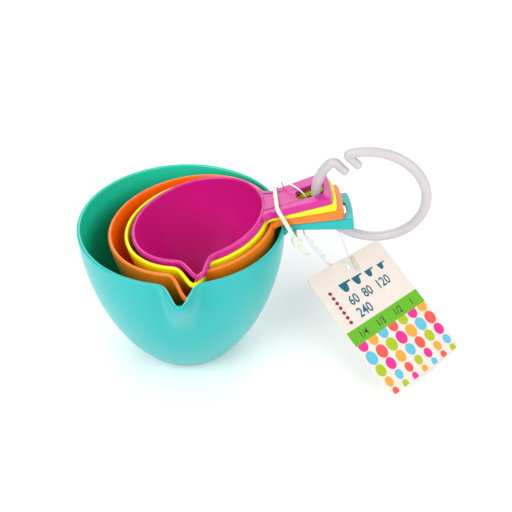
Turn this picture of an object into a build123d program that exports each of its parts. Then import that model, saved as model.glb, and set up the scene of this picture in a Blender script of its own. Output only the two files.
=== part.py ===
from build123d import *
import os
from math import sin, cos, tan, radians, pi, sqrt, exp

# A nest of four spouted measuring cups, held together at the necks of their handles by a
# cable tie, with a split ring through the handle holes and a card tag on a filament loop.
#
# Frame: millimetres, +Z up. The origin is the centre of the largest cup's foot, on the
# surface that it stands on. The handles point along +X and the spouts along -Y.

# ---------------------------------------------------------------- driving dimensions
WALL = 1.5                  # moulded wall of every cup
FLOOR = 1.8                 # thickness of each cup's bottom
PROFILE_P = 1.95            # bowl profile: r = foot + (rim - foot) * (1 - t^P)^Q
PROFILE_Q = 0.81            # t is 0 at the rim and 1 at the foot
SPOUT_POWER = 2.8           # how flat the tip of the spout is in plan
SPOUT_DEPTH = 0.42          # the spout fades out over this share of the cup's depth
SPOUT_FADE = 1.8            # and this is how soon
SPOUT_ROOT = 0.3            # the spout starts this far inside the bowl's surface
SPOUT_LEVELS = (0.0, 0.3, 0.65, 1.0)
SPOUT_POINTS = 15
PROFILE_POINTS = 14
PLATE_RISE = 9.0            # angle of the handle above its own rim, degrees
PLATE_SKIN = 1.6            # thickness of the handle's top
PLATE_WALL = 1.5            # thickness of the handle's downturned edge
REST_GAP = 0.3              # clearance between one handle and the next

# One row a cup: rim radius, depth, foot radius, handle length beyond the rim, half width of
# the handle at its neck and at its end, length of the spout beyond the rim, half width of the
# spout, where the rim's centre lies in the nest (x, z from the largest rim) and the tilt in
# degrees that the stack of handles gives the cup.
CUPS = {
    "cup_full": dict(rim=42.5, depth=66.0, foot=17.0, reach=26.8, neck=7.5, end=9.8,
                     spout=13.5, spout_w=5.0, spout_x=0.0, x=0.0, z=0.0, tilt=0.0),
    "cup_half": dict(rim=34.5, depth=52.5, foot=13.8, reach=27.0, neck=7.3, end=9.4,
                     spout=6.8, spout_w=5.1, spout_x=0.3, x=3.8, z=-1.5, tilt=6.5),
    "cup_third": dict(rim=30.1, depth=46.0, foot=12.2, reach=27.0, neck=7.5, end=9.7,
                      spout=9.2, spout_w=4.6, spout_x=-1.4, x=5.8, z=-1.4, tilt=9.5),
    "cup_quarter": dict(rim=27.6, depth=41.5, foot=11.0, reach=28.4, neck=7.6, end=9.9,
                        spout=10.8, spout_w=3.4, spout_x=-1.5, x=6.0, z=-0.2, tilt=12.5),
}
RIM_HEIGHT = CUPS["cup_full"]["depth"]
NECK_LENGTH = 3.4           # from the rim to the handle's narrowest place
EDGE_DEPTH_FULL = (2.5, 5.4)    # the largest handle's edge at its neck and at its end

HOLE_LENGTH = 13.6          # hanging hole, near the handle's end
HOLE_MARGIN = 1.9           # from the hole to the handle's end
HOLE_HALF = (3.0, 4.6)      # half width of the hole at its neck side and its end side
HOLE_SHIFT = -1.0           # the hole sits a little towards the spout's side

RING_RADIUS = 21.75         # centre line of the split ring
RING_TUBE = 2.05            # radius of its section
RING_CENTRE = (75.5, -7.2, RIM_HEIGHT + 13.8)
RING_YAW = -14.0            # the ring's plane, turned about Z
RING_LEAN = -6.5            # and leaning away from the vertical
RING_ENDS = (135.0, 119.0)  # where the two hooks stand on the ring, degrees from its right
HOOK_LENGTH = 6.2
HOOK_TUBE = 1.8
HOOK_ANGLE = -44.0          # both hooks point this way in the ring's plane

STRAP_WIDTH = 1.7
STRAP_THICK = 0.9
TIE_TOP = (38.4, RIM_HEIGHT + 9.5)      # x, z of the strap's top run
TIE_BOTTOM = (46.2, RIM_HEIGHT - 5.0)   # and of its bottom run
TIE_HALF = (8.6, 10.6)      # half width of the strap's loop, top and bottom
TIE_CORNER = 2.4
TIE_HEAD = (4.0, 3.8, 3.4)
TIE_TAIL = 6.0

TAG_SIZE = (50.7, 60.8, 0.5)
TAG_CENTRE = (86.1, -9.5, 18.2)
TAG_YAW = 42.8              # its top edge, turned about Z
TAG_DIP = -6.5              # and dipping towards the far end
TAG_LEAN = 30.4             # the tag leans back from the table by this
TAG_CORNER = 3.0
TAG_HOLE_RADIUS = 1.6
TAG_HOLE_FROM_TOP = 3.9

LOOP_DIAMETER = 0.7         # nylon filament that the tag hangs from
LOOP_ROUTE = [
    (50.6, -1.6, 57.4), (50.2, 3.2, 57.8), (49.3, 8.8, 59.7), (47.2, 12.9, 65.0), (43.6, 12.4, 71.0),
    (40.8, 9.9, 76.6), (42.6, 5.1, 79.0), (46.4, 0.2, 80.2), (50.1, -1.0, 76.8), (52.6, 1.0, 71.2),
    (56.8, 1.3, 66.4), (62.4, 1.6, 61.0), (66.8, 4.2, 52.0), (70.0, 6.6, 43.2), (71.8, 7.8, 36.0),
]
LOCK_GAP = 3.6              # from the tag to the lock's barrel
LOCK_BARREL = (1.7, 5.0)    # radius and length
LOCK_STRIP = (2.0, 0.8)     # the flat shank that the filament grows out of
LOCK_FACING = Vector(0.04, 0.78, -0.62)     # the shank's flat side looks back along this

FROM_BASE = (Align.CENTER, Align.CENTER, Align.MIN)


# ---------------------------------------------------------------- cups
def profile(cup):
    """Points (r, z) down the outside of a bowl, evenly turned, and their outward normals."""
    points = []
    for i in range(PROFILE_POINTS):
        t = sin(i / (PROFILE_POINTS - 1) * pi / 2)
        r = cup["foot"] + (cup["rim"] - cup["foot"]) * max(0.0, 1 - t**PROFILE_P) ** PROFILE_Q
        points.append((r, -cup["depth"] * t))
    normals = [(1.0, 0.0)]
    for (r0, z0), (r1, z1) in zip(points, points[2:]):
        length = sqrt((r1 - r0) ** 2 + (z1 - z0) ** 2)
        normals.append(((z0 - z1) / length, (r1 - r0) / length))
    return points, normals + [(0.0, -1.0)]


def inner_profile(cup):
    """The same down the inside: one wall in from the outside, and a thicker floor."""
    points, normals = profile(cup)
    thickness = [WALL + (WALL - FLOOR) * nz for _, nz in normals]
    walls = zip(points, normals, thickness)
    return [(r - thick * nr, z - thick * nz) for (r, z), (nr, nz), thick in walls]


def turned(points):
    """The solid of revolution under a profile that runs from the rim to the foot."""
    (top_r, top_z), (foot_r, foot_z) = points[0], points[-1]
    edges = [Edge.make_spline([(r, 0, z) for r, z in points]),
             Edge.make_line((foot_r, 0, foot_z), (0, 0, foot_z)),
             Edge.make_line((0, 0, foot_z), (0, 0, top_z)),
             Edge.make_line((0, 0, top_z), (top_r, 0, top_z))]
    return revolve(Face(Wire(edges)), Axis.Z)


def spout(cup, radius, half):
    """The bulge of the spout towards -Y, from the rim down to where it has faded out."""
    reach = SPOUT_DEPTH * cup["depth"]
    sections = []
    for share in SPOUT_LEVELS:
        z = -reach * share
        base = radius(z) - SPOUT_ROOT
        length = cup["spout"] * (1 - share) ** SPOUT_FADE + SPOUT_ROOT * (1 - share)
        points = []
        for i in range(SPOUT_POINTS):
            across = 2.1 * half * (2 * i / (SPOUT_POINTS - 1) - 1)
            bulge = length * exp(-(abs(across) / half) ** SPOUT_POWER)
            points.append((across + cup["spout_x"], -sqrt(base**2 - across**2) - bulge, z))
        back = -0.75 * cup["rim"] * (1 - 0.2 * share)
        corners = [(points[-1][0], back, z), (points[0][0], back, z)]
        sections.append(Wire([Edge.make_spline(points), Edge.make_line(points[-1], corners[0]),
                              Edge.make_line(*corners), Edge.make_line(corners[1], points[0])]))
    return Solid.make_loft(sections)


def radius_at(points, z):
    """The radius of a profile at one height, read between its points."""
    for (r0, z0), (r1, z1) in zip(points, points[1:]):
        if z >= z1:
            return r0 + (r1 - r0) * (z - z0) / (z1 - z0)
    return points[-1][0]


def bowl_solids(cup):
    """The outside of the bowl with its spout as one solid, and the space inside it."""
    outer, inner = profile(cup)[0], inner_profile(cup)
    outside = turned(outer) + spout(cup, lambda z: radius_at(outer, z), cup["spout_w"])
    inside = turned(inner) + spout(cup, lambda z: radius_at(inner, z), cup["spout_w"] - 0.5 * WALL)
    return outside, inside


def handle(cup, edge):
    """The handle in its own frame: x from the neck outwards, top at z = 0."""
    reach, neck, end = cup["reach"], cup["neck"], cup["end"]
    root = 1.38 * neck
    root_x = sqrt(cup["rim"] ** 2 - root**2) - cup["rim"] + 0.3
    slope = (end - neck) / (reach - NECK_LENGTH)

    def outline(inset):
        with BuildSketch() as sketch:
            with BuildLine():
                neck_end = (NECK_LENGTH, neck - inset)
                tip = (reach - inset, end - inset)
                Polyline((-6, 0), (-6, root - inset), (root_x, root - inset))
                TangentArc(neck_end, (root_x, root - inset), tangent=(-1, -slope))
                Line(neck_end, tip)
                ThreePointArc(tip, (reach - inset + 0.7, 0), (tip[0], -tip[1]))
                Line((tip[0], -tip[1]), (neck_end[0], -neck_end[1]))
                TangentArc((neck_end[0], -neck_end[1]), (root_x, inset - root), tangent=(-1, slope))
                Polyline((root_x, inset - root), (-6, inset - root), (-6, 0))
            make_face()
            corners = sketch.vertices().sort_by(Axis.X)[-2:]
            fillet(corners, 2.6 - inset)
        return sketch.sketch

    body = extrude(outline(0.0), amount=-9)
    (start, shallow), (finish, deep), root_rise = edge
    slant = (deep - shallow) / (finish - start)
    side = Polyline((-7, 1), (reach + 2, 1), (reach + 2, -deep - slant * (reach + 2 - finish)),
                    (start, -shallow), (-7, -shallow + root_rise * (start + 7)), close=True)
    body &= extrude(Plane.XZ * make_face(side), amount=15, both=True)
    cavity = extrude(Plane.XY.offset(-PLATE_SKIN) * outline(PLATE_WALL), amount=-9)
    cavity &= Pos(NECK_LENGTH + reach / 2, 0, -5) * Box(reach, 30, 12)
    far = reach - HOLE_MARGIN
    near = far - HOLE_LENGTH
    hole = make_face(Polyline((near, -HOLE_HALF[0]), (far, -HOLE_HALF[1]), (far, HOLE_HALF[1]),
                              (near, HOLE_HALF[0]), close=True))
    hole = Pos(0, HOLE_SHIFT, 0) * fillet(hole.vertices(), 2.5)
    return body - cavity - extrude(hole, amount=10, both=True)


def top_height(cup, x):
    """Height of the top of a cup's handle above the largest rim, at a place along X."""
    tilt = radians(cup["tilt"])
    neck_x = cup["x"] + cup["rim"] * cos(tilt)
    neck_z = cup["z"] + cup["rim"] * sin(tilt)
    return neck_z + (x - neck_x) * tan(tilt + radians(PLATE_RISE))


def edge_line(cup, below):
    """The lower edge of a handle, which rests on the one below: two points of it as (place
    along the handle, depth), and how fast it rises from the first of them to the bowl."""
    if below is None:
        return (NECK_LENGTH, EDGE_DEPTH_FULL[0]), (cup["reach"], EDGE_DEPTH_FULL[1]), 0.05
    angle = radians(cup["tilt"] + PLATE_RISE)
    neck_x = cup["x"] + cup["rim"] * cos(radians(cup["tilt"]))
    rim_x = below["x"] + below["rim"] * cos(radians(below["tilt"]))
    line = []
    for along in ((rim_x - neck_x) / cos(angle), cup["reach"]):
        x = neck_x + along * cos(angle)
        drop = top_height(cup, x) - top_height(below, x) - REST_GAP
        line.append((along - drop * sin(angle), drop * cos(angle)))
    return line[0], line[1], tan(angle)


def make_cup(name, below):
    """One moulded cup, in the frame of its own rim: bowl, spout and handle."""
    cup = CUPS[name]
    outside, inside = bowl_solids(cup)
    plate = Pos(cup["rim"], 0, 0) * Rot(0, -PLATE_RISE, 0) * handle(cup, edge_line(cup, below))
    return outside + plate - inside


def place_cup(name, solid):
    """Stands a cup in the nest, tilted as the stack of handles holds it."""
    cup = CUPS[name]
    return Pos(cup["x"], 0, RIM_HEIGHT + cup["z"]) * Rot(0, -cup["tilt"], 0) * solid


# ---------------------------------------------------------------- split ring
def ring_plane():
    """The ring's plane: x to the right in it, y up in it, z towards the handles' far side."""
    yaw, lean = radians(RING_YAW), radians(RING_LEAN)
    right = Vector(cos(yaw), sin(yaw), 0)
    up = Vector(-sin(yaw) * sin(lean), cos(yaw) * sin(lean), cos(lean))
    return Plane(RING_CENTRE, x_dir=right, z_dir=right.cross(up))


def make_ring():
    """A snap ring: most of a circle, with both of its ends turned inwards as hooks."""
    plane = ring_plane()
    first, last = RING_ENDS
    section = Plane.XZ.rotated((0, 0, first)) * Circle(RING_TUBE)
    section = Pos(RING_RADIUS * cos(radians(first)), RING_RADIUS * sin(radians(first)), 0) * section
    ring = revolve(section, Axis.Z, 360 - first + last)
    along = Vector(cos(radians(HOOK_ANGLE)), sin(radians(HOOK_ANGLE)), 0)
    for angle in RING_ENDS:
        root = Vector(RING_RADIUS * cos(radians(angle)), RING_RADIUS * sin(radians(angle)), 0)
        hook = Plane(root, z_dir=along) * Cylinder(HOOK_TUBE, HOOK_LENGTH, align=FROM_BASE)
        ring += hook
        ring += Pos(*root) * Sphere(RING_TUBE)
        ring += Pos(*(root + along * HOOK_LENGTH)) * Sphere(HOOK_TUBE)
    return plane * ring


# ---------------------------------------------------------------- cable tie
def make_tie():
    """The strap round the four necks, its head and its cut tail, moulded as one piece."""
    top, bottom = Vector(TIE_TOP[0], 0, TIE_TOP[1]), Vector(TIE_BOTTOM[0], 0, TIE_BOTTOM[1])
    up = (top - bottom).normalized()
    plane = Plane((top + bottom) * 0.5, x_dir=(0, 1, 0), z_dir=Vector(0, 1, 0).cross(up))
    half_height = (top - bottom).length / 2

    def loop(offset):
        above, below = TIE_HALF[0] + offset, TIE_HALF[1] + offset
        height = half_height + offset
        face = make_face(Polyline((-below, -height), (below, -height), (above, height),
                                  (-above, height), close=True))
        return fillet(face.vertices(), TIE_CORNER + offset)

    strap = extrude(loop(STRAP_THICK / 2) - loop(-STRAP_THICK / 2), amount=STRAP_WIDTH / 2, both=True)
    head = Pos(-TIE_HALF[1] + 0.4, -half_height - 0.5, 0) * Rot(0, 0, -35) * Box(*TIE_HEAD)
    tail = Pos(-TIE_HALF[1] - 1.4, -half_height - TIE_TAIL / 2 - 1.6, 0) * Rot(0, 0, -25)
    tail *= Box(STRAP_THICK, TIE_TAIL, STRAP_WIDTH)
    return plane * (strap + fillet(head.edges(), 0.7) + tail)


# ---------------------------------------------------------------- hang tag and its loop
def tag_plane():
    """The tag's plane: x along its top edge, y up it, z out of its printed face."""
    yaw, dip, lean = radians(TAG_YAW), radians(TAG_DIP), radians(TAG_LEAN)
    across = Vector(cos(yaw) * cos(dip), sin(yaw) * cos(dip), sin(dip))
    level = Vector(-sin(yaw), cos(yaw), 0)
    up = level * cos(lean) + across.cross(level) * sin(lean)
    return Plane(TAG_CENTRE, x_dir=across, z_dir=across.cross(up))


def make_tag():
    """A card tag with rounded corners and one punched hole near its top edge."""
    card = fillet(Rectangle(TAG_SIZE[0], TAG_SIZE[1]).vertices(), TAG_CORNER)
    card -= Pos(0, TAG_SIZE[1] / 2 - TAG_HOLE_FROM_TOP) * Circle(TAG_HOLE_RADIUS)
    return tag_plane() * extrude(card, amount=TAG_SIZE[2] / 2, both=True)


def lock_point(depth):
    """A point on the axis of the tag's hole, so far behind the tag."""
    return tag_plane().from_local_coords(Vector(0, TAG_SIZE[1] / 2 - TAG_HOLE_FROM_TOP, -depth))


def make_lock():
    """The loop's moulded lock: a barrel behind the tag and a flat shank up to the filament."""
    radius, length = LOCK_BARREL
    mouth, back = lock_point(LOCK_GAP), lock_point(LOCK_GAP + length)
    axis = (mouth - back).normalized()
    barrel = Plane(back, z_dir=axis) * Cylinder(radius, length, align=FROM_BASE)
    foot, top = back + axis * 1.0, Vector(*LOOP_ROUTE[0])
    along = (top - foot).normalized()
    shank = Plane(foot, x_dir=along.cross(LOCK_FACING), z_dir=along)
    width, thick = LOCK_STRIP
    strip = extrude(shank * RectangleRounded(width, thick, 0.3 * thick), amount=(top - foot).length)
    return barrel + strip


def make_loop():
    """The filament: from the shank round the far side of the necks, over the smallest handle,
    down through the four holes and into the lock."""
    points = [Vector(*p) for p in LOOP_ROUTE] + [lock_point(0), lock_point(LOCK_GAP)]
    radii = []
    for before, corner, after in zip(points, points[1:], points[2:]):
        arriving, leaving = corner - before, after - corner
        shorter = min(arriving.length, leaving.length)
        radii.append(0.45 * shorter / tan(radians(arriving.get_angle(leaving)) / 2))
    print("loop radii", [round(r, 1) for r in radii])
    path = FilletPolyline(*points, radius=radii)
    section = Plane(points[0], z_dir=points[1] - points[0]) * Circle(LOOP_DIAMETER / 2)
    tube = sweep(section, path)
    print("loop length", round(path.length, 1), "volume", round(tube.volume, 2),
          "section x length", round(pi * LOOP_DIAMETER**2 / 4 * path.length, 2))
    return tube


# ---------------------------------------------------------------- build and export
def main():
    os.makedirs("parts", exist_ok=True)
    below = None
    for name in CUPS:
        export_step(place_cup(name, make_cup(name, below)), f"parts/{name}.step")
        below = CUPS[name]
    export_step(make_ring(), "parts/split_ring.step")
    export_step(make_tie(), "parts/cable_tie.step")
    export_step(make_loop(), "parts/tag_loop.step")
    export_step(make_lock(), "parts/tag_loop_lock.step")
    export_step(make_tag(), "parts/hang_tag.step")


if __name__ == "__main__":
    main()
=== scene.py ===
"""A nested set of four measuring cups with a cable tie, a split ring and a hang tag.

Everything is in metres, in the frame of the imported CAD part: +Z up, handles towards +X, spouts
towards -Y. Lengths in the tables are in millimetres and are scaled as they are used.
"""

from math import cos, pi, radians, sin, sqrt

import bpy
import numpy as np
from mathutils import Matrix, Vector


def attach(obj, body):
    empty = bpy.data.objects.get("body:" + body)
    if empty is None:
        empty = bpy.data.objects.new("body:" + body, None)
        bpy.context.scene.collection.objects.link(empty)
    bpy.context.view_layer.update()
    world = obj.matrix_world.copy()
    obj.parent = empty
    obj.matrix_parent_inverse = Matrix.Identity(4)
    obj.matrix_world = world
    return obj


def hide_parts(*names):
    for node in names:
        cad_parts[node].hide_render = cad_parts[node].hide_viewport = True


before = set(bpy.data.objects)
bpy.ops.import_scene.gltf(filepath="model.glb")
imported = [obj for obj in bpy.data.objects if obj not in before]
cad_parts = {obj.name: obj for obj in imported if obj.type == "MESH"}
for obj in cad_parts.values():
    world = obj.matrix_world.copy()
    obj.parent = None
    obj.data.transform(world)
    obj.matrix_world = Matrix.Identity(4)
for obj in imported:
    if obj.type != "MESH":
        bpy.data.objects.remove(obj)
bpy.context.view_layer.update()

MM = 0.001
RIM = 66.0                  # height of the largest cup's rim

# ---------------------------------------------------------------- camera, floor and light
CAMERA_AT = (15.6, -284.1, 270.4)
CAMERA_TO = (29.1, -25.9, 66.0)
CAMERA_LENS = 60.0
LIGHTS_AIM = (20, 0, 50)
LIGHTS = {                  # place, size of the square in metres, power in watts
    "key": ((-430, -360, 430), 0.5, 3.4),
    "fill": ((480, -400, 420), 0.6, 2.9),
    "back": ((60, 560, 380), 0.6, 2.4),
}
WORLD_STRENGTH = 0.56
FLOOR_HALF = 6000.0


def look_at(thing, target):
    """Points a camera or light at a place."""
    direction = Vector(target) - thing.location
    thing.rotation_euler = direction.to_track_quat("-Z", "Y").to_euler()


def make_camera():
    """The camera, with a 36 mm wide sensor."""
    data = bpy.data.cameras.new("camera")
    data.lens = CAMERA_LENS
    data.sensor_width = 36.0
    camera = link(bpy.data.objects.new("camera", data))
    camera.location = Vector(CAMERA_AT) * MM
    look_at(camera, Vector(CAMERA_TO) * MM)
    bpy.context.scene.camera = camera


def make_light(name, place, size, power):
    """A soft square light that points at the cups."""
    data = bpy.data.lights.new(name, "AREA")
    data.shape = "SQUARE"
    data.size = size
    data.energy = power
    light = link(bpy.data.objects.new(name, data))
    light.location = Vector(place) * MM
    look_at(light, Vector(LIGHTS_AIM) * MM)


# ---------------------------------------------------------------- materials
def srgb(red, green, blue):
    """Linear colour from 8-bit sRGB."""
    def linear(value):
        value /= 255.0
        return value / 12.92 if value <= 0.04045 else ((value + 0.055) / 1.055) ** 2.4
    return (linear(red), linear(green), linear(blue), 1.0)


def scaled(colour, factor):
    """A colour made lighter or darker, still opaque."""
    return tuple(min(1.0, c * factor) for c in colour[:3]) + (1.0,)


def new_material(name):
    """A new material, with its nodes, its links and its shader."""
    material = bpy.data.materials.new(name)
    material.use_nodes = True
    nodes, links = material.node_tree.nodes, material.node_tree.links
    return material, nodes, links, nodes["Principled BSDF"]


def noise(nodes, links, scale, detail=3.0, roughness=0.5):
    """A noise pattern over the piece; the scale is how many features there are in a metre."""
    coordinates = nodes.new("ShaderNodeTexCoord")
    texture = nodes.new("ShaderNodeTexNoise")
    texture.inputs["Scale"].default_value = scale
    texture.inputs["Detail"].default_value = detail
    texture.inputs["Roughness"].default_value = roughness
    links.new(coordinates.outputs["Object"], texture.inputs["Vector"])
    return texture.outputs["Fac"]


GLOW_DEPTH = 0.002          # how far light goes under a plastic's skin, in metres
POLYPROPYLENE_IOR, NYLON_IOR = 1.49, 1.45
WHOLE_RANGE = (0.0, 1.0)
USUAL_RANGE = (0.3, 0.7)    # where most of a noise pattern's values lie


def mottle(nodes, links, shader, source, dark, light, span=USUAL_RANGE):
    """Runs the base colour from a dark colour to a light one over a span of the pattern."""
    node = nodes.new("ShaderNodeValToRGB")
    for element, position, colour in zip(node.color_ramp.elements, span, (dark, light)):
        element.position = position
        element.color = colour
    links.new(source, node.inputs["Fac"])
    links.new(node.outputs["Color"], shader.inputs["Base Color"])


def spread(nodes, links, source, low, high, span=USUAL_RANGE):
    """Stretches a span of the pattern, to run from low to high."""
    node = nodes.new("ShaderNodeMapRange")
    node.inputs["From Min"].default_value = span[0]
    node.inputs["From Max"].default_value = span[1]
    node.inputs["To Min"].default_value = low
    node.inputs["To Max"].default_value = high
    links.new(source, node.inputs["Value"])
    return node.outputs["Result"]


def bump(nodes, links, shader, height, strength, distance):
    """A bump map from a pattern; the distance is in metres."""
    node = nodes.new("ShaderNodeBump")
    node.inputs["Strength"].default_value = strength
    node.inputs["Distance"].default_value = distance
    links.new(height, node.inputs["Height"])
    links.new(node.outputs["Normal"], shader.inputs["Normal"])


def glow_under_skin(shader, weight, ior):
    """Light scattered under a plastic's skin."""
    shader.inputs["Subsurface Weight"].default_value = weight
    shader.inputs["Subsurface Scale"].default_value = GLOW_DEPTH
    shader.inputs["IOR"].default_value = ior


def moulded(name, colour, glow, rough=(0.27, 0.31), scatter=0.12):
    """Semi-gloss moulded polypropylene: faint flow mottling, and light under the skin."""
    material, nodes, links, shader = new_material(name)
    flow = noise(nodes, links, 22.0, 0.0)
    mottle(nodes, links, shader, flow, scaled(colour, 0.96), scaled(colour, 1.04), WHOLE_RANGE)
    sheen = noise(nodes, links, 60.0, 0.0)
    links.new(spread(nodes, links, sheen, *rough, WHOLE_RANGE), shader.inputs["Roughness"])
    shader.inputs["Subsurface Radius"].default_value = glow
    glow_under_skin(shader, scatter, POLYPROPYLENE_IOR)
    return material


def milky_nylon(name, colour, rough=(0.22, 0.36)):
    """Milky nylon, for the strap and the filament."""
    material, nodes, links, shader = new_material(name)
    cloud = noise(nodes, links, 260.0, 2.0)
    mottle(nodes, links, shader, cloud, scaled(colour, 0.95), scaled(colour, 1.03))
    links.new(spread(nodes, links, cloud, *rough), shader.inputs["Roughness"])
    glow_under_skin(shader, 0.6, NYLON_IOR)
    return material


def card(name, colour, rough=(0.42, 0.55)):
    """Coated card: faint fibre mottling and a smooth, slightly glossy face."""
    material, nodes, links, shader = new_material(name)
    fibre = noise(nodes, links, 420.0, 5.0, 0.6)
    mottle(nodes, links, shader, fibre, scaled(colour, 0.965), scaled(colour, 1.02))
    sheen = noise(nodes, links, 120.0)
    links.new(spread(nodes, links, sheen, *rough), shader.inputs["Roughness"])
    bump(nodes, links, shader, fibre, 0.12, 0.00006)
    return material


# ---------------------------------------------------------------- meshes
MERGE, MERGE_AFTER_JOIN = 1e-6, 1e-5        # metres within which points become one


def link(piece):
    """Puts an object into the scene."""
    bpy.context.scene.collection.objects.link(piece)
    return piece


def select_only(piece):
    """Makes one piece the selected and active one."""
    bpy.ops.object.select_all(action="DESELECT")
    piece.select_set(True)
    bpy.context.view_layer.objects.active = piece


def merge_points(distance):
    """Merges doubled points and drops empty faces of the active piece, and stays in edit mode."""
    bpy.ops.object.mode_set(mode="EDIT")
    bpy.ops.mesh.select_all(action="SELECT")
    bpy.ops.mesh.remove_doubles(threshold=distance)
    bpy.ops.mesh.dissolve_degenerate(threshold=distance)


def new_piece(name, vertices, faces, materials):
    """A piece from vertices in millimetres; faces are (corners, material number) or corners."""
    mesh = bpy.data.meshes.new(name)
    mesh.from_pydata([tuple(Vector(v) * MM) for v in vertices], [],
                     [f[0] if isinstance(f[0], (list, tuple)) else f for f in faces])
    for material in materials:
        mesh.materials.append(material)
    for polygon, face in zip(mesh.polygons, faces):
        if isinstance(face[0], (list, tuple)):
            polygon.material_index = face[1]
    mesh.validate()
    mesh.update()
    return link(bpy.data.objects.new(name, mesh))


def tidy_mesh(piece, smooth_angle=35.0):
    """Merges doubled points, turns faces outwards and shades smooth up to an angle."""
    select_only(piece)
    merge_points(MERGE)
    bpy.ops.mesh.normals_make_consistent(inside=False)
    bpy.ops.object.mode_set(mode="OBJECT")
    bpy.ops.object.shade_smooth_by_angle(angle=radians(smooth_angle))


def union(piece, other):
    """Joins two closed pieces into one clean mesh."""
    modifier = piece.modifiers.new("combine", "BOOLEAN")
    modifier.operation = "UNION"
    modifier.solver = "MANIFOLD"
    modifier.object = other
    select_only(piece)
    bpy.ops.object.modifier_apply(modifier=modifier.name)
    bpy.data.objects.remove(other)
    merge_points(MERGE_AFTER_JOIN)
    bpy.ops.object.mode_set(mode="OBJECT")


def ring_faces(rings, columns, closed):
    """Quads between rings of points, the columns closed round, the rings closed if asked."""
    faces = []
    for i in range(rings if closed else rings - 1):
        below, above = i * columns, (i + 1) % rings * columns
        for j in range(columns):
            k = (j + 1) % columns
            faces.append((below + j, below + k, above + k, above + j))
    return faces


def resample(points, count):
    """Evenly spaced points along an open line."""
    points = np.asarray(points, float)
    steps = np.r_[0, np.cumsum(np.linalg.norm(np.diff(points, axis=0), axis=1))]
    at = np.linspace(0, steps[-1], count)
    return np.stack([np.interp(at, steps, points[:, k]) for k in range(points.shape[1])], axis=1)


def rounded(corners, radii, steps=8):
    """A closed outline with its corners rounded by arcs; flat points of (x, y)."""
    corners = [np.array(c, float) for c in corners]
    outline = []
    for i, corner in enumerate(corners):
        before, after = corners[i - 1] - corner, corners[(i + 1) % len(corners)] - corner
        before, after = before / np.linalg.norm(before), after / np.linalg.norm(after)
        half = np.arccos(np.clip(before @ after, -1, 1)) / 2
        setback = radii[i] / np.tan(half)
        bisector = (before + after) / np.linalg.norm(before + after)
        centre = corner + bisector * radii[i] / np.sin(half)
        first, last = corner + before * setback - centre, corner + after * setback - centre
        turn = pi - 2 * half
        for s in np.linspace(0, 1, steps):
            outline.append(centre + (first * sin((1 - s) * turn) + last * sin(s * turn)) / sin(turn))
    return np.array(outline)


# ---------------------------------------------------------------- cups
WALL, FLOOR = 1.5, 1.8
PROFILE_P = 1.95            # how a bowl's side curves in towards its foot
SPOUT_POWER, SPOUT_DEPTH, SPOUT_FADE = 2.8, 0.42, 1.8
FOOT_ROUND, RECESS, RECESS_DEPTH = 0.94, 0.86, 0.35
PLATE_SKIN, PLATE_WALL = 1.6, 1.5
REST_GAP = 0.3              # between one handle's lower edge and the handle below it
NECK_LENGTH = 3.4
EDGE_DEPTH_FULL = (2.5, 5.4)
HOLE_LENGTH, HOLE_MARGIN, HOLE_HALF, HOLE_SHIFT = 13.6, 1.9, (3.0, 4.6), -1.0
HOLE_CORNER, HOLE_ARC = 2.5, 12

# Bowl: rim and foot radii, depth, and how full the side is. Handle: reach from the rim, half widths
# at the neck and the end, rise in degrees, sideways shift at the neck and the end. Spout: length,
# width, place along X, skew and drop of its tip. x, z and tilt place the cup in the nest.
CUPS = {
    "cup_full": dict(
        rim=42.5, foot=17.6, depth=66.0, full=0.78, reach=26.8, neck=7.5, end=9.8, rise=9.0,
        shift=(0.0, 0.4), hole=HOLE_LENGTH, spout=13.5, spout_w=5.0, spout_x=0.0, skew=0.0, drop=0.0,
        x=0.0, z=0.0, tilt=0.0),
    "cup_half": dict(
        rim=34.5, foot=13.8, depth=52.5, full=0.81, reach=27.0, neck=7.3, end=9.4, rise=6.0,
        shift=(0.0, 0.4), hole=HOLE_LENGTH, spout=13.2, spout_w=4.3, spout_x=-1.9, skew=0.6, drop=2.2,
        x=3.8, z=-1.0, tilt=6.5),
    "cup_third": dict(
        rim=30.1, foot=12.2, depth=46.0, full=0.81, reach=27.0, neck=7.5, end=9.7, rise=7.2,
        shift=(-0.3, 0.1), hole=HOLE_LENGTH, spout=12.4, spout_w=4.7, spout_x=-1.3, skew=1.2, drop=0.0,
        x=5.8, z=-0.9, tilt=9.5),
    "cup_quarter": dict(
        rim=28.2, foot=11.0, depth=41.5, full=0.81, reach=26.2, neck=7.7, end=10.0, rise=3.6,
        shift=(-0.9, 0.5), hole=11.4, spout=12.2, spout_w=4.6, spout_x=-1.0, skew=1.8, drop=0.0,
        x=6.5, z=1.2, tilt=12.5),
}
WALL_ROWS = 44
LIP_ROWS = 9
COLUMNS = 320
SPOUT_CROWDING = 0.75       # how much closer together the columns are at the spout


def place_cup(cup, points):
    """From the frame of a cup's own rim to the nest."""
    tilt = radians(cup["tilt"])
    x, y, z = points[:, 0], points[:, 1], points[:, 2]
    return np.stack([cup["x"] + x * cos(tilt) - z * sin(tilt), y,
                     RIM + cup["z"] + x * sin(tilt) + z * cos(tilt)], axis=1)


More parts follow.
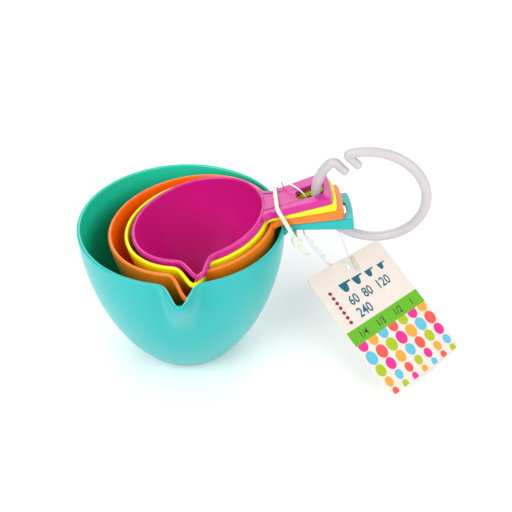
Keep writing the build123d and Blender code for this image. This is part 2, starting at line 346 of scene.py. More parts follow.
def outer_wall(cup):
    """Grid of points over the outside of a bowl, from under the lip down to the foot."""
    start = 0.5 * WALL / cup["depth"]
    t = start + (1 - start) * np.sin(np.linspace(0, pi / 2, WALL_ROWS))
    radius = cup["foot"] + (cup["rim"] - cup["foot"]) * np.maximum(0, 1 - t**PROFILE_P) ** cup["full"]
    turn = np.linspace(0, 2 * pi, COLUMNS, endpoint=False)
    angle = turn - SPOUT_CROWDING * np.sin(turn) - pi / 2
    x = radius[:, None] * np.cos(angle)
    y = radius[:, None] * np.sin(angle)
    z = np.repeat(-cup["depth"] * t[:, None], COLUMNS, axis=1)
    share = np.clip(t / SPOUT_DEPTH, 0, 1)[:, None]
    across = np.abs(x - cup["spout_x"]) / cup["spout_w"]
    bulge = np.where(y < 0, (1 - share) ** SPOUT_FADE * np.exp(-across**SPOUT_POWER), 0)
    return np.stack([x + bulge * cup["skew"], y - bulge * cup["spout"], z - bulge * cup["drop"]], axis=2)


def outward(grid):
    """Unit normals of a grid that is closed round and runs downwards."""
    round_it = np.roll(grid, -1, axis=1) - np.roll(grid, 1, axis=1)
    down = np.gradient(grid, axis=0)
    normal = np.cross(down, round_it)
    normal /= np.linalg.norm(normal, axis=2, keepdims=True)
    return normal


def bowl(cup, name, material, inner_painted_light_material):
    """The bowl with its spout: outside, rounded lip and inside as one closed skin."""
    outside = outer_wall(cup)
    normal = outward(outside)
    normal[-1] = (0, 0, -1)
    thickness = WALL + (WALL - FLOOR) * normal[:, :, 2:]
    inside = outside - normal * thickness
    middle, half = (outside[0] + inside[0]) / 2, (outside[0] - inside[0]) / 2
    lip = [middle + half * cos(a) + np.array([0, 0, 0.5 * WALL * sin(a)])
           for a in np.linspace(0, pi, LIP_ROWS)[1:-1]]
    foot = outside[-1] * np.array([FOOT_ROUND, FOOT_ROUND, 1.0])
    recess = outside[-1] * np.array([RECESS, RECESS, 1.0]) + np.array([0, 0, RECESS_DEPTH])
    rings = [recess, foot] + list(outside[::-1]) + lip + list(inside)
    vertices = np.concatenate(rings)
    faces = ring_faces(len(rings), COLUMNS, closed=False)
    bottom, top = len(vertices), len(vertices) + 1
    centres = [[0, 0, -cup["depth"] + RECESS_DEPTH], [0, 0, -cup["depth"] + FLOOR]]
    vertices = np.concatenate([vertices, centres])
    last = (len(rings) - 1) * COLUMNS
    for j in range(COLUMNS):
        k = (j + 1) % COLUMNS
        faces.append((bottom, k, j))
        faces.append((top, last + j, last + k))
    inner_from = (2 + WALL_ROWS + LIP_ROWS // 2) * COLUMNS     # the inside starts half way over the lip
    # The inside faces take the second material: the same plastic, with painted bounce light in its
    # colour.
    faces = [(face, int(i >= inner_from and face[0] != bottom)) for i, face in enumerate(faces)]
    return new_piece(name, place_cup(cup, vertices), faces, [material, inner_painted_light_material])


OUTLINE_POINTS = 128        # round a handle; an even number
EDGE = 0.45                 # rounding of a handle's edges
EDGE_FLAT = 0.25            # width of the flat strip beside a rounded edge
END_CORNER, END_CROWN = 1.2, 0.7
ROOT_FLARE = 1.38           # how much wider than its neck a handle is where it meets the rim
SHIFT_FADE = 4.0            # length over which the sideways shift starts
HOLE_BLEND, MIDDLE_SHARE = 8.0, 0.62        # shape of the ring of points half way across the top


def set_over(cup, outline):
    """Moves a handle's outline sideways, by one amount at its neck and another at its end."""
    at_neck, at_end = cup["shift"]
    share = np.clip((outline[:, 0] - NECK_LENGTH) / (cup["reach"] - NECK_LENGTH), 0, 1)
    fade = np.clip(1 + (outline[:, 0] - NECK_LENGTH) / SHIFT_FADE, 0, 1)
    sideways = (at_neck + (at_end - at_neck) * share) * fade
    return outline + np.column_stack([np.zeros(len(outline)), sideways])


def both_sides(half):
    """A closed outline from its half on one side of the X axis, evenly spaced."""
    half = resample(half, OUTLINE_POINTS // 2 + 1)
    return np.concatenate([half, half[1:-1][::-1] * np.array([1, -1])])


def outward_flat(outline):
    """Unit directions straight out of a closed flat outline, at its points."""
    direction = np.roll(outline, -1, axis=0) - np.roll(outline, 1, axis=0)
    direction /= np.linalg.norm(direction, axis=1, keepdims=True)
    return np.stack([direction[:, 1], -direction[:, 0]], axis=1)


def handle_outline(cup):
    """Points round a handle, seen from above, and the directions straight out of its edge."""
    reach, neck, end = cup["reach"], cup["neck"], cup["end"]
    root = ROOT_FLARE * neck
    root_x = sqrt(cup["rim"] ** 2 - root**2) - cup["rim"] + 0.3
    slope = (end - neck) / (reach - NECK_LENGTH)
    tip = [(reach + END_CROWN * (1 - (y / end) ** 2), y) for y in np.linspace(0, end, 14)]
    corner = rounded([(reach + 0.3, 0.5 * end), (reach, end), (NECK_LENGTH, neck), (NECK_LENGTH, 0)],
                     [0.1, END_CORNER, 0.1, 0.1])[8:16]
    side = [(x, neck + slope * (x - NECK_LENGTH))
            for x in np.linspace(corner[-1][0], NECK_LENGTH, 24)[1:]]
    arrive, leave = np.array([NECK_LENGTH, neck]), np.array([root_x, root])
    along = np.array([-1, -slope]) / sqrt(1 + slope**2)
    chord = leave - arrive
    across = np.array([along[1], -along[0]])
    if across @ chord < 0:
        across = -across
    radius = chord @ chord / (2 * (across @ chord))
    centre = arrive + across * radius
    sweep = 2 * np.arctan2(across @ chord, along @ chord)
    flare = [centre - across * radius * cos(a) + along * radius * sin(a)
             for a in np.linspace(0, sweep, 12)[1:]]
    inner = cup["rim"] - 0.5 * WALL
    last = flare[-1][1]
    back = [(sqrt(inner**2 - y**2) - cup["rim"], y) for y in np.linspace(last, 0, 10)]
    half = [p for p in tip if p[1] < corner[0][1] - 0.2] + list(corner) + side + flare + back[1:]
    outline = set_over(cup, both_sides([tuple(p) for p in half]))
    return outline, outward_flat(outline)


def hole_outline(cup):
    """The hanging hole, point for point with the handle's outline."""
    far = cup["reach"] - HOLE_MARGIN
    near = far - cup["hole"]
    near_half, far_half = HOLE_HALF
    corners = [(far, -far_half), (far, far_half), (near, near_half), (near, -near_half)]
    shape = rounded(corners, [HOLE_CORNER] * 4, HOLE_ARC)
    side = np.concatenate([[[far, 0]], shape[HOLE_ARC:3 * HOLE_ARC], [[near, 0]]])
    outline = both_sides(side)
    return set_over(cup, outline + np.array([0, HOLE_SHIFT])), outward_flat(outline)


def top_height(cup, x):
    """Height of the top of a handle above the largest rim, at a place along X."""
    tilt = radians(cup["tilt"])
    neck_x = cup["x"] + cup["rim"] * cos(tilt)
    neck_z = cup["z"] + cup["rim"] * sin(tilt)
    return neck_z + (x - neck_x) * np.tan(tilt + radians(cup["rise"]))


def edge_depth(cup, below, x):
    """How deep a handle's lower edge is, at places along it: it rests on the one below."""
    if below is None:
        (start, finish), (shallow, deep), rise = (NECK_LENGTH, cup["reach"]), EDGE_DEPTH_FULL, 0.05
    else:
        angle = radians(cup["tilt"] + cup["rise"])
        neck_x = cup["x"] + cup["rim"] * cos(radians(cup["tilt"]))
        rim_x = below["x"] + below["rim"] * cos(radians(below["tilt"]))
        line = []
        for along in ((rim_x - neck_x) / cos(angle), cup["reach"]):
            place = neck_x + along * cos(angle)
            drop = top_height(cup, place) - top_height(below, place) - REST_GAP
            line.append((along - drop * sin(angle), drop * cos(angle)))
        (start, shallow), (finish, deep), rise = line[0], line[1], np.tan(angle)
    outer = shallow + (deep - shallow) / (finish - start) * (x - start)
    return np.where(x < start, shallow + rise * (x - start), outer)


def handle(cup, below, name, material):
    """The channel-shaped handle with its hanging hole, as one closed skin round the hole.

    The rings of points run over the top from the outer edge to the hole, down through the hole,
    out under the skin, down inside the downturned edge, under it and up its outside.
    """
    outline, out = handle_outline(cup)
    hole, hole_in = hole_outline(cup)
    rings = []

    def add(points, z):
        """Adds one ring of points at one height, or at a height for each point."""
        z = np.broadcast_to(z, len(points))
        rings.append(np.column_stack([points, z]))

    def cavity(inset):
        """The outline of the hollow under the plate, drawn in by an inset."""
        points = outline - out * (PLATE_WALL + inset)
        start, half = NECK_LENGTH + inset, cup["neck"] - PLATE_WALL - inset
        short = points[:, 0] < start
        points[short, 1] = np.linspace(half, -half, short.sum() + 2)[1:-1] + cup["shift"][0]
        points[short, 0] = start
        return points

    quarter = [radians(a) for a in (0, 22.5, 45, 67.5, 90)]
    for a in quarter:
        add(outline - out * EDGE * (1 - cos(a)), -EDGE * (1 - sin(a)))
    add(outline - out * (EDGE + EDGE_FLAT), 0)
    beside = np.clip((outline[:, :1] - hole[:, 0].min() + HOLE_BLEND / 2) / HOLE_BLEND, 0, 1)
    narrower = outline * np.array([1.0, MIDDLE_SHARE])
    add(narrower * (1 - beside) + (outline + hole) / 2 * beside, 0)
    add(hole + hole_in * (EDGE + EDGE_FLAT), 0)
    for a in quarter[::-1]:
        add(hole + hole_in * EDGE * (1 - cos(a)), -EDGE * (1 - sin(a)))
    add(hole, -PLATE_SKIN + 0.3)
    add(hole + hole_in * 0.3, -PLATE_SKIN)
    add(hole + hole_in * 0.6, -PLATE_SKIN)
    add(cavity(0.7), -PLATE_SKIN)
    add(cavity(0.4), -PLATE_SKIN)
    add(cavity(0.0), -PLATE_SKIN - 0.4)
    lower = -edge_depth(cup, below, cavity(0.0)[:, 0])
    add(cavity(0.0), np.minimum(lower + 0.3, -PLATE_SKIN - 0.45))
    add(cavity(-0.3), np.minimum(lower, -PLATE_SKIN - 0.5))
    lower = -edge_depth(cup, below, outline[:, 0])
    add(outline - out * 0.3, lower)
    add(outline - out * 0.08, lower + 0.08)
    add(outline, lower + 0.3)
    add(outline, -EDGE - EDGE_FLAT)
    points = np.concatenate(rings)
    rise = radians(cup["rise"])
    turned = np.stack([cup["rim"] + points[:, 0] * cos(rise) - points[:, 2] * sin(rise), points[:, 1],
                       points[:, 0] * sin(rise) + points[:, 2] * cos(rise)], axis=1)
    faces = ring_faces(len(rings), len(outline), closed=True)
    return new_piece(name, place_cup(cup, turned), faces, [material])


# Colour outside, colour inside (painted light: light that bounces inside deepens it) and the tint of the
# glow.
PLASTICS = {
    "cup_full": ("teal_plastic", (4, 172, 170), (30, 206, 168), (0.2, 1.0, 0.8)),
    "cup_half": ("orange_plastic", (240, 120, 12), (255, 100, 4), (1.0, 0.4, 0.1)),
    "cup_third": ("yellow_plastic", (224, 234, 4), (226, 228, 4), (1.0, 1.0, 0.1)),
    "cup_quarter": ("magenta_plastic", (198, 22, 138), (200, 20, 128), (1.0, 0.2, 0.5)),
}


def make_cups():
    """The four cups, each one moulding of a bowl and the handle that rests on the one below."""
    below = None
    for node, cup in CUPS.items():
        slot, outside, inside, glow = PLASTICS[node]
        skin = moulded(slot, srgb(*outside), glow)
        # The inside gets a copy of the plastic whose colour has painted bounce light in it.
        piece = bowl(cup, node + "_moulding", skin, moulded(slot + "_inside", srgb(*inside), glow))
        tidy_mesh(piece)
        plate = handle(cup, below, node + "_plate", skin)
        tidy_mesh(plate)
        union(piece, plate)
        bpy.ops.object.shade_smooth_by_angle(angle=radians(35))
        weighted = piece.modifiers.new("even shading", "WEIGHTED_NORMAL")
        weighted.keep_sharp = True
        bpy.ops.object.modifier_apply(modifier=weighted.name)
        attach(piece, node)
        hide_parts(node)
        below = cup


# ---------------------------------------------------------------- split ring
RING_RADIUS, RING_TUBE = 21.75, 2.05
RING_CENTRE = (75.5, -7.2, RIM + 13.8)
RING_YAW, RING_LEAN = -14.0, -6.5
RING_ENDS = (135, 119)
HOOK_LENGTH, HOOK_TUBE, HOOK_ANGLE = 6.2, 1.8, -44
BEND_ANGLE = 2.5            # degrees of the ring taken up by the bend into a hook


def plane_matrix(origin, x_dir, z_dir):
    """The frame of a plane: columns x, y, z and its origin, in millimetres."""
    x, z = Vector(x_dir).normalized(), Vector(z_dir).normalized()
    y = z.cross(x)
    return Matrix(((x.x, y.x, z.x, origin[0]), (x.y, y.y, z.y, origin[1]),
                   (x.z, y.z, z.z, origin[2]), (0, 0, 0, 1)))


def ring_plane():
    """The plane of the split ring."""
    yaw, lean = radians(RING_YAW), radians(RING_LEAN)
    right = Vector((cos(yaw), sin(yaw), 0))
    up = Vector((-sin(yaw) * sin(lean), cos(yaw) * sin(lean), cos(lean)))
    return plane_matrix(RING_CENTRE, right, right.cross(up))


def tube(path, radii, sides, flatten=1.0, up=(0, 0, 1)):
    """Rings of points round a line, one radius for each ring; the section is flattened across up."""
    path = np.asarray(path, float)
    tangent = np.gradient(path, axis=0)
    tangent /= np.linalg.norm(tangent, axis=1, keepdims=True)
    up = np.broadcast_to(np.asarray(up, float), path.shape)
    side = np.cross(tangent, up)
    side /= np.linalg.norm(side, axis=1, keepdims=True)
    normal = np.cross(side, tangent)
    rings = []
    for centre, s, n, r in zip(path, side, normal, radii):
        rings.append([centre + r * (s * cos(a) + n * sin(a) * flatten)
                      for a in np.linspace(0, 2 * pi, sides, endpoint=False)])
    return np.array(rings)


def capped(rings):
    """Vertices and faces of a tube, closed by fans at its ends."""
    count, sides = rings.shape[:2]
    vertices = np.concatenate([rings.reshape(-1, 3), [rings[0].mean(axis=0), rings[-1].mean(axis=0)]])
    faces = ring_faces(count, sides, closed=False)
    for j in range(sides):
        k = (j + 1) % sides
        faces.append((count * sides, k, j))
        faces.append((count * sides + 1, (count - 1) * sides + j, (count - 1) * sides + k))
    return vertices, faces


def round_ends(radii, path, cap_radius):
    """Radii along a line that close in to a blunt tip at both ends."""
    steps = np.r_[0, np.cumsum(np.linalg.norm(np.diff(path, axis=0), axis=1))]
    from_end = np.minimum(steps, steps[-1] - steps)
    inside = np.clip(from_end / cap_radius, 0, 1)
    return radii * np.sqrt(np.maximum(0.02, 1 - (1 - inside) ** 2))


def make_split_ring():
    """The round ring, with an end hooked inwards on each side of its gap."""
    along = np.array([cos(radians(HOOK_ANGLE)), sin(radians(HOOK_ANGLE)), 0])
    first, last = RING_ENDS
    hook = []
    for angle in (first, last):
        root = RING_RADIUS * np.array([cos(radians(angle)), sin(radians(angle)), 0])
        hook.append([root + along * s for s in (HOOK_LENGTH + HOOK_TUBE, HOOK_LENGTH, 2.6, 0.9)])
    arc = [RING_RADIUS * np.array([cos(radians(a)), sin(radians(a)), 0])
           for a in np.linspace(first + BEND_ANGLE, 360 + last - BEND_ANGLE, 60)]
    path = smooth_line(hook[0] + arc + hook[1][::-1], 420)
    near_end = np.linalg.norm(path - path[0], axis=1), np.linalg.norm(path - path[-1], axis=1)
    blend_in = np.clip((np.minimum(*near_end) - 5.0) / 4.0, 0, 1)
    radii = HOOK_TUBE + (RING_TUBE - HOOK_TUBE) * blend_in
    radii = round_ends(radii, path, 1.5)
    rings = tube(path, radii, 28, 0.95)
    vertices, faces = capped(rings)
    place = ring_plane()
    vertices = [place @ Vector(v) for v in vertices]
    material = moulded("ring_plastic", srgb(190, 184, 187), (1.0, 0.95, 1.0), (0.28, 0.34), 0.25)
    piece = new_piece("split_ring_moulding", vertices, faces, [material])
    tidy_mesh(piece, 60)
    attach(piece, "split_ring")
    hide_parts("split_ring")


def smooth_line(points, count):
    """A line with its corners cut three times, evenly resampled."""
    points = np.asarray(points, float)
    for _ in range(3):
        middle = np.empty((2 * len(points) - 2, 3))
        middle[0::2] = 0.75 * points[:-1] + 0.25 * points[1:]
        middle[1::2] = 0.25 * points[:-1] + 0.75 * points[1:]
        points = np.concatenate([points[:1], middle, points[-1:]])
    return resample(points, count)


# ---------------------------------------------------------------- cable tie
STRAP_WIDTH, STRAP_THICK = 1.7, 0.9
TIE_TOP, TIE_BOTTOM = (38.4, RIM + 9.5), (46.2, RIM - 5.0)
TIE_HALF, TIE_CORNER = (8.6, 10.6), 2.4
TIE_HEAD, TIE_TAIL = (4.0, 3.8, 3.4), 6.0
HEAD_TURN, TAIL_TURN = -35, -25             # degrees, in the plane of the strap
HEAD_LEVELS = [             # share of the depth, share of the width and length, corner radius
    (0, 1.0, 0.8), (0.2, 1.0, 0.75), (0.38, 0.98, 0.70), (0.46, 0.90, 0.62), (0.5, 0.80, 0.55)]
TOOTH_PITCH, TOOTH_HEIGHT = 0.9, 0.10
TAIL_LEAN = 0.33            # how far the tail leans out of the strap's plane, for each unit of length


def box_section(width, height, radius, steps=4):
    """Points round a rounded rectangle."""
    w, h = width / 2, height / 2
    return rounded([(w, -h), (w, h), (-w, h), (-w, -h)], [radius] * 4, steps)


def make_cable_tie():
    """The strap, as a closed rounded band round the four necks, with its head and tail."""
    top, bottom = Vector((TIE_TOP[0], 0, TIE_TOP[1])), Vector((TIE_BOTTOM[0], 0, TIE_BOTTOM[1]))
    up = (top - bottom).normalized()
    x_dir = Vector((0, 1, 0))
    place = plane_matrix((top + bottom) * 0.5, x_dir, x_dir.cross(up))
    half = (top - bottom).length / 2
    corners = [(-TIE_HALF[1], -half), (TIE_HALF[1], -half), (TIE_HALF[0], half), (-TIE_HALF[0], half)]
    outline = rounded(corners, [TIE_CORNER] * 4, 10)
    loop = resample(np.concatenate([outline, outline[:1]]), 241)[:-1]
    normal = outward_flat(loop)
    section = box_section(STRAP_WIDTH, STRAP_THICK, 0.3)
    rings = np.array([[np.array([p[0] + n[0] * s[1], p[1] + n[1] * s[1], s[0]]) for s in section]
                      for p, n in zip(loop, normal)])
    vertices = [place @ Vector(v) for v in rings.reshape(-1, 3)]
    nylon = milky_nylon("tie_nylon", srgb(222, 221, 208))
    strap = new_piece("cable_tie_strap", vertices, ring_faces(len(rings), len(section), True), [nylon])
    tidy_mesh(strap, 45)
    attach(strap, "cup_quarter")
    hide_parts("cable_tie")
    make_tie_head(place, half, nylon)


def turned_in_plane(points, degrees, x, y):
    """Points turned about z and moved in a plane."""
    a = radians(degrees)
    points = np.asarray(points, float)
    return np.stack([points[:, 0] * cos(a) - points[:, 1] * sin(a) + x,
                     points[:, 0] * sin(a) + points[:, 1] * cos(a) + y, points[:, 2]], axis=1)


def make_tie_head(place, half, nylon):
    """The head that the strap locks into, and the cut tail that comes out of it."""
    width, length, depth = TIE_HEAD
    below = [(-level, share, corner) for level, share, corner in HEAD_LEVELS[:0:-1]]
    rings = []
    for level, share, corner in below + HEAD_LEVELS:
        outline = box_section(width * share, length * share, corner, 5)
        rings.append(np.column_stack([outline, np.full(len(outline), level * depth)]))
    vertices, faces = capped(np.array(rings))
    vertices = turned_in_plane(vertices, HEAD_TURN, -TIE_HALF[1] + 0.4, -half - 0.5)
    head = new_piece("cable_tie_head", [place @ Vector(v) for v in vertices], faces, [nylon])
    tidy_mesh(head, 50)
    rings = []
    for y in np.linspace(0.5, -TIE_TAIL, 66):
        tooth = TOOTH_HEIGHT * ((y / TOOTH_PITCH) % 1.0)
        taper = 1.0 - 0.12 * max(0.0, -y / TIE_TAIL)
        end = 0.55 if y < -TIE_TAIL + 0.12 else 1.0
        outline = box_section(STRAP_THICK * end - tooth, STRAP_WIDTH * taper * (0.6 + 0.4 * end), 0.22)
        x, z = outline[:, 0], outline[:, 1] - TAIL_LEAN * y
        rings.append(np.column_stack([x, np.full(len(outline), y), z]))
    vertices, faces = capped(np.array(rings))
    vertices = turned_in_plane(vertices, TAIL_TURN, -TIE_HALF[1] - 0.6, -half - 2.0)
    tail = new_piece("cable_tie_tail", [place @ Vector(v) for v in vertices], faces, [nylon])
    tidy_mesh(tail, 30)
    for piece in (head, tail):
        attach(piece, "cup_quarter")


# ---------------------------------------------------------------- hang tag
TAG_SIZE = (50.7, 60.8, 0.5)
TAG_CENTRE = (86.1, -9.5, 18.2)
TAG_YAW, TAG_DIP, TAG_LEAN = 42.8, -6.5, 30.4
TAG_CORNER, TAG_HOLE_RADIUS, TAG_HOLE_FROM_TOP = 3.0, 1.6, 3.9
TAG_CURL = 0.5              # how far the card's side edges bend forward
CARD_EDGE = 0.12            # rounding of the card's cut edges
PRINT_MARGIN = 0.12         # from the edge of the print to the edge of the card
BAND = (-5.2, 1.6)          # bottom and top of the printed band, from the card's centre
DOT_ROWS = ((-6.2, 2.9), (-12.6, 3.15), (-18.9, 2.8), (-24.6, 2.3), (-29.2, 1.8))
DOT_COLUMNS = 7
DOT_PITCH = 7.2
DOT_INKS = ("pink", "amber", "sky", "coral", "lime")     # taken in turn, two on at each row
INKS = {"sky": (92, 184, 208), "coral": (222, 84, 74), "pink": (222, 36, 136), "amber": (232, 160, 56),
        "lime": (166, 188, 16), "band": (98, 176, 24), "teal": (0, 96, 118), "red": (150, 12, 36),
        "black": (28, 36, 26)}


def tag_plane():
    """The plane of the hang tag, with Y up the card."""
    yaw, dip, lean = radians(TAG_YAW), radians(TAG_DIP), radians(TAG_LEAN)
    across = Vector((cos(yaw) * cos(dip), sin(yaw) * cos(dip), sin(dip)))
    level = Vector((-sin(yaw), cos(yaw), 0))
    up = level * cos(lean) + across.cross(level) * sin(lean)
    return plane_matrix(TAG_CENTRE, across, across.cross(up))


def on_card(points, lift=0.0):
    """From flat places on the card to the tag, with the card's slight curl."""
    place = tag_plane()
    half = TAG_SIZE[0] / 2
    placed = []
    for x, y, *above in points:
        level = (above[0] if above else 0.0) + lift + TAG_CURL * (x / half) ** 2
        placed.append(place @ Vector((x, y, level)))
    return placed


def make_card():
    """The card with its punched hole, as one closed skin round the hole."""
    width, height, thick = TAG_SIZE
    hole_at = np.array([0, height / 2 - TAG_HOLE_FROM_TOP])
    w, h = width / 2, height / 2
    outline = rounded([(w, -h), (w, h), (-w, h), (-w, -h)], [TAG_CORNER] * 4, 8)
    outline = resample(np.concatenate([outline, outline[:1]]), 161)[:-1]
    away = outline - hole_at
    away /= np.linalg.norm(away, axis=1, keepdims=True)
    hole = hole_at + away * TAG_HOLE_RADIUS
    inward = hole - outline
    inward /= np.linalg.norm(inward, axis=1, keepdims=True)
    z = thick / 2
    edge = z - CARD_EDGE
    front = [(outline, edge), (outline + inward * 0.06, z - 0.02), (outline + inward * 0.14, z)]
    front += [(outline + (hole - outline) * s, z) for s in np.linspace(0.08, 0.92, 14)]
    front += [(hole + away * 0.15, z), (hole + away * 0.04, z - 0.03), (hole, edge)]
    back = [(points, -level) for points, level in front[::-1]]
    rings = [np.column_stack([points, np.full(len(points), level)]) for points, level in front + back]
    vertices = on_card(np.concatenate(rings))
    faces = ring_faces(len(rings), len(outline), closed=True)
    paper = card("tag_card", srgb(228, 216, 206))
    piece = new_piece("hang_tag_card", vertices, faces, [paper])
    tidy_mesh(piece, 40)
    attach(piece, "hang_tag")
    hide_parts("hang_tag")


class Print:
    """Thin layers of ink on the card's face, gathered into one mesh."""
    LIFT = TAG_SIZE[2] / 2 + 0.02

    def __init__(self):
        self.vertices, self.faces, self.names = [], [], []

    def ink(self, name):
        """The number of an ink, which is added if it is new."""
        if name not in self.names:
            self.names.append(name)
        return self.names.index(name)

    def shape(self, outline, ink):
        """A filled convex outline, as a fan round its middle."""
        start = len(self.vertices)
        points = [tuple(p) for p in outline]
        centre = tuple(np.mean(np.array(points), axis=0))
        self.vertices += points + [centre]
        count = len(points)
        for i in range(count):
            self.faces.append(([start + i, start + (i + 1) % count, start + count], self.ink(ink)))

    def sheet(self, low, high, ink, columns=16, rows=2):
        """A filled rectangle, divided so that it follows the card's curl."""
        start = len(self.vertices)
        for y in np.linspace(low[1], high[1], rows + 1):
            self.vertices += [(x, y) for x in np.linspace(low[0], high[0], columns + 1)]
        for i in range(rows):
            for j in range(columns):
                a = start + i * (columns + 1) + j
                self.faces.append(([a, a + 1, a + columns + 2, a + columns + 1], self.ink(ink)))

    def figures(self, text, place, size, ink, bold):
        """Figures in the plain built-in typeface."""
        data = bpy.data.curves.new("figures", "FONT")
        data.body, data.size, data.offset = text, size, bold
        data.resolution_u = 4
        thing = link(bpy.data.objects.new("figures", data))
        bpy.context.view_layer.update()
        mesh = bpy.data.meshes.new_from_object(thing)
        start = len(self.vertices)
        self.vertices += [(place[0] + v.co.x, place[1] + v.co.y) for v in mesh.vertices]
        for polygon in mesh.polygons:
            self.faces.append(([start + i for i in polygon.vertices], self.ink(ink)))
        bpy.data.meshes.remove(mesh)
        bpy.data.objects.remove(thing)
        bpy.data.curves.remove(data)


ICON_BOWL = ((-0.5, 0.42), (0.5, 0.42), (0.44, 0.1), (0.3, -0.3), (0.12, -0.42),
             (-0.12, -0.42), (-0.3, -0.3), (-0.44, 0.1))
ICON_BAR = ((0.45, 0.24), (0.95, 0.26), (0.95, 0.42), (0.45, 0.42))
ICON_SIZES, ICON_FIRST, ICON_PITCH = (5.4, 4.8, 4.2, 3.6), (-9.4, 18.9), 8.6
BAND_FIGURES = ((-19.5, "1/4"), (-7.2, "1/3"), (5.0, "1/2"), (17.0, "1"))
DIAMONDS, DIAMOND_FIRST, DIAMOND_PITCH, DIAMOND_HALF = 7, (-19.0, 4.6), 2.5, (1.3, 1.05)


def cup_icon(x, y, size):
    """Outlines of a small cup seen from the side: its bowl, and a bar for its handle."""
    return [[(x + size * px, y + size * py) for px, py in shape] for shape in (ICON_BOWL, ICON_BAR)]


def dot_outline(x, y, radius, half_w, half_h):
    """A round dot, cut off by the band above it and by the card's edges and round corners."""
    corner = TAG_CORNER - 0.1
    dot = []
    for a in np.linspace(0, 2 * pi, 40, endpoint=False):
        px = np.clip(x + radius * cos(a), -half_w, half_w)
        py = np.clip(y + radius * sin(a), -half_h, BAND[0])
        over_x, over_y = abs(px) - (half_w - corner), -py - (half_h - corner)
        if over_x > 0 and over_y > 0 and over_x**2 + over_y**2 > corner**2:
            scale = corner / sqrt(over_x**2 + over_y**2)
            px = np.sign(px) * (half_w - corner + over_x * scale)
            py = -(half_h - corner + over_y * scale)
        dot.append((px, py))
    return dot


def make_print():
    """The band and the dots, and over them the figures, the cup icons and a line of diamonds."""
    layer, ink = Print(), Print()
    half_w, half_h = TAG_SIZE[0] / 2 - PRINT_MARGIN, TAG_SIZE[1] / 2 - PRINT_MARGIN
    layer.sheet((-half_w, BAND[0]), (half_w, BAND[1]), "band")
    for row, (y, radius) in enumerate(DOT_ROWS):
        for column in range(DOT_COLUMNS):
            x = (column - (DOT_COLUMNS - 1) / 2) * DOT_PITCH
            dot = dot_outline(x, y, radius, half_w, half_h)
            layer.shape(dot, DOT_INKS[(column + 2 * row) % len(DOT_INKS)])
    for x, text in BAND_FIGURES:
        ink.figures(text, (x, BAND[0] + 1.7), 4.6, "black", 0.02)
    for k, size in enumerate(ICON_SIZES):
        for outline in cup_icon(ICON_FIRST[0] + ICON_PITCH * k, ICON_FIRST[1], size):
            ink.shape(outline, "teal")
    ink.figures("60  80  120", (-12.5, 10.4), 6.2, "teal", 0.10)
    ink.figures("240", (-12.5, 4.0), 6.4, "teal", 0.10)
    x, (half_x, half_y) = DIAMOND_FIRST[0], DIAMOND_HALF
    for k in range(DIAMONDS):
        y = DIAMOND_FIRST[1] + DIAMOND_PITCH * k
        ink.shape([(x + half_x, y), (x, y + half_y), (x - half_x, y), (x, y - half_y)], "red")
    lift = Print.LIFT
    for name, made, lift in (("hang_tag_print", layer, lift), ("hang_tag_figures", ink, lift + 0.02)):
        materials = [card("ink_" + n, srgb(*INKS[n]), (0.34, 0.46)) for n in made.names]
        piece = new_piece(name, on_card(made.vertices, lift), made.faces, materials)
        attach(piece, "hang_tag")


def make_tab(nylon):
    """The flat end of the loop's lock, pressed against the card's face beside the hole."""
    hole_y = TAG_SIZE[1] / 2 - TAG_HOLE_FROM_TOP
    top, low = np.array([5.6, hole_y + 3.2]), np.array([3.1, hole_y - 4.4])
    along = (low - top) / np.linalg.norm(low - top)
    side = np.array([-along[1], along[0]])
    corners = [top - side * 1.1, low - side * 1.6, low + side * 1.6, top + side * 1.1]
    outline = rounded(corners, [0.9, 1.2, 1.2, 0.9], 8)
    middle = (top + low) / 2
    rings = [np.column_stack([middle + (outline - middle) * share, np.full(len(outline), level)])
             for level, share in ((0.0, 1.0), (0.28, 1.0), (0.4, 0.95))]
    vertices, faces = capped(np.array(rings))
    tab = new_piece("tag_loop_tab", on_card(vertices, TAG_SIZE[2] / 2), faces, [nylon])
    tidy_mesh(tab, 40)
    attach(tab, "hang_tag")


# ---------------------------------------------------------------- the tag's loop
LOOP_DIAMETER = 0.7
LOOP_ROUTE = [
    (50.6, -1.6, 57.4), (50.2, 3.2, 57.8), (49.3, 8.8, 59.7), (47.2, 12.9, 65.0), (43.6, 12.4, 71.0),
    (40.8, 9.9, 76.6), (42.6, 5.1, 79.0), (46.4, 0.2, 80.2), (50.1, -1.0, 76.8), (52.6, 1.0, 71.2),
    (56.8, 1.3, 66.4), (62.4, 1.6, 61.0), (66.8, 4.2, 52.0), (70.0, 6.6, 43.2), (71.8, 7.8, 36.0),
]
LOCK_GAP = 3.6              # from the card's middle to the barrel behind it
LOCK_BARREL = (1.7, 5.0)    # radius and length
LOCK_STRIP = (2.0, 0.8)     # width and thickness
BARREL_STEPS = [            # share of the length, share of the radius
    (0.0, 0.7), (0.04, 0.9), (0.12, 1.0), (0.42, 1.0), (0.46, 0.92), (0.54, 0.92), (0.58, 1.0),
    (0.88, 1.0), (0.96, 0.9), (1.0, 0.7)]
SHANK_NARROWS_AT = 0.86     # share of the shank's length


def lock_point(depth):
    """A point on the axis of the tag's hole, so far behind the tag."""
    return tag_plane() @ Vector((0, TAG_SIZE[1] / 2 - TAG_HOLE_FROM_TOP, -depth))


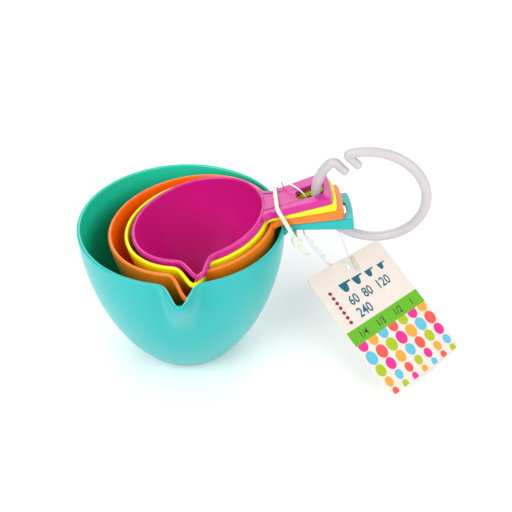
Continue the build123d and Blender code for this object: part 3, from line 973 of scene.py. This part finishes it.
def make_lock(nylon):
    """The barrel behind the tag, and the flat shank that rises to the filament."""
    radius, length = LOCK_BARREL
    mouth, back = lock_point(LOCK_GAP), lock_point(LOCK_GAP + length)
    axis = (mouth - back).normalized()
    line = np.array([back + axis * length * s for s, _ in BARREL_STEPS])
    rings = tube(line, [radius * share for _, share in BARREL_STEPS], 28)
    vertices, faces = capped(rings)
    barrel = new_piece("tag_loop_barrel", vertices, faces, [nylon])
    tidy_mesh(barrel, 45)
    foot, top = back + axis * 1.0, Vector(LOOP_ROUTE[0])
    along = (top - foot).normalized()
    flat = along.cross(Vector(CAMERA_TO) - Vector(CAMERA_AT)).normalized()
    normal = flat.cross(along)
    rings = []
    for s in np.linspace(0, 1, 40):
        narrow = 1 - max(0.0, (s - SHANK_NARROWS_AT) / 0.14)
        width = LOOP_DIAMETER + (LOCK_STRIP[0] - LOOP_DIAMETER) * narrow
        centre = foot + (top - foot) * s
        section = box_section(width, LOCK_STRIP[1], 0.3 if narrow > 0.2 else 0.36)
        rings.append([centre + flat * p[0] + normal * p[1] for p in section])
    vertices, faces = capped(np.array(rings))
    shank = new_piece("tag_loop_shank", vertices, faces, [nylon])
    tidy_mesh(shank, 45)
    for piece in (barrel, shank):
        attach(piece, "cup_full")
    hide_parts("tag_loop_lock")
    return [barrel, shank]


def make_loop():
    """The filament, from the shank round the handles and back through the tag's hole."""
    nylon = milky_nylon("loop_nylon", srgb(226, 225, 230))
    pieces = make_lock(nylon)
    make_tab(milky_nylon("tab_nylon", srgb(216, 203, 188)))
    points = [Vector(p) for p in LOOP_ROUTE] + [lock_point(0), lock_point(LOCK_GAP)]
    data = bpy.data.curves.new("tag_loop_filament", "CURVE")
    data.dimensions = "3D"
    spline = data.splines.new("NURBS")
    spline.points.add(len(points) - 1)
    for point, place in zip(spline.points, points):
        point.co = (*(place * MM), 1.0)
    spline.order_u = 3
    spline.use_endpoint_u = True
    data.resolution_u = 12
    data.bevel_depth = LOOP_DIAMETER / 2 * MM
    data.bevel_resolution = 5
    data.use_fill_caps = True
    data.materials.append(nylon)
    loop = link(bpy.data.objects.new("tag_loop_filament", data))
    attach(loop, "cup_full")
    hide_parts("tag_loop")


# ---------------------------------------------------------------- scene
def make_stage():
    """White paper under the cups, a white world and three soft lights."""
    material, nodes, links, shader = new_material("floor_paper")
    mottle(nodes, links, shader, noise(nodes, links, 3.0), (0.95, 0.95, 0.95, 1), (0.97, 0.97, 0.97, 1))
    shader.inputs["Roughness"].default_value = 0.9
    half = FLOOR_HALF
    corners = [(-half, -half, 0), (half, -half, 0), (half, half, 0), (-half, half, 0)]
    new_piece("floor", corners, [(0, 1, 2, 3)], [material])
    world = bpy.data.worlds.new("studio")
    world.use_nodes = True
    background = world.node_tree.nodes["Background"]
    background.inputs["Color"].default_value = (1, 1, 1, 1)
    background.inputs["Strength"].default_value = WORLD_STRENGTH
    bpy.context.scene.world = world
    for name, (place, size, power) in LIGHTS.items():
        make_light(name, place, size, power)
    bpy.context.scene.view_settings.view_transform = "Standard"


make_camera()
make_stage()
make_cups()
make_split_ring()
make_cable_tie()
make_card()
make_print()
make_loop()
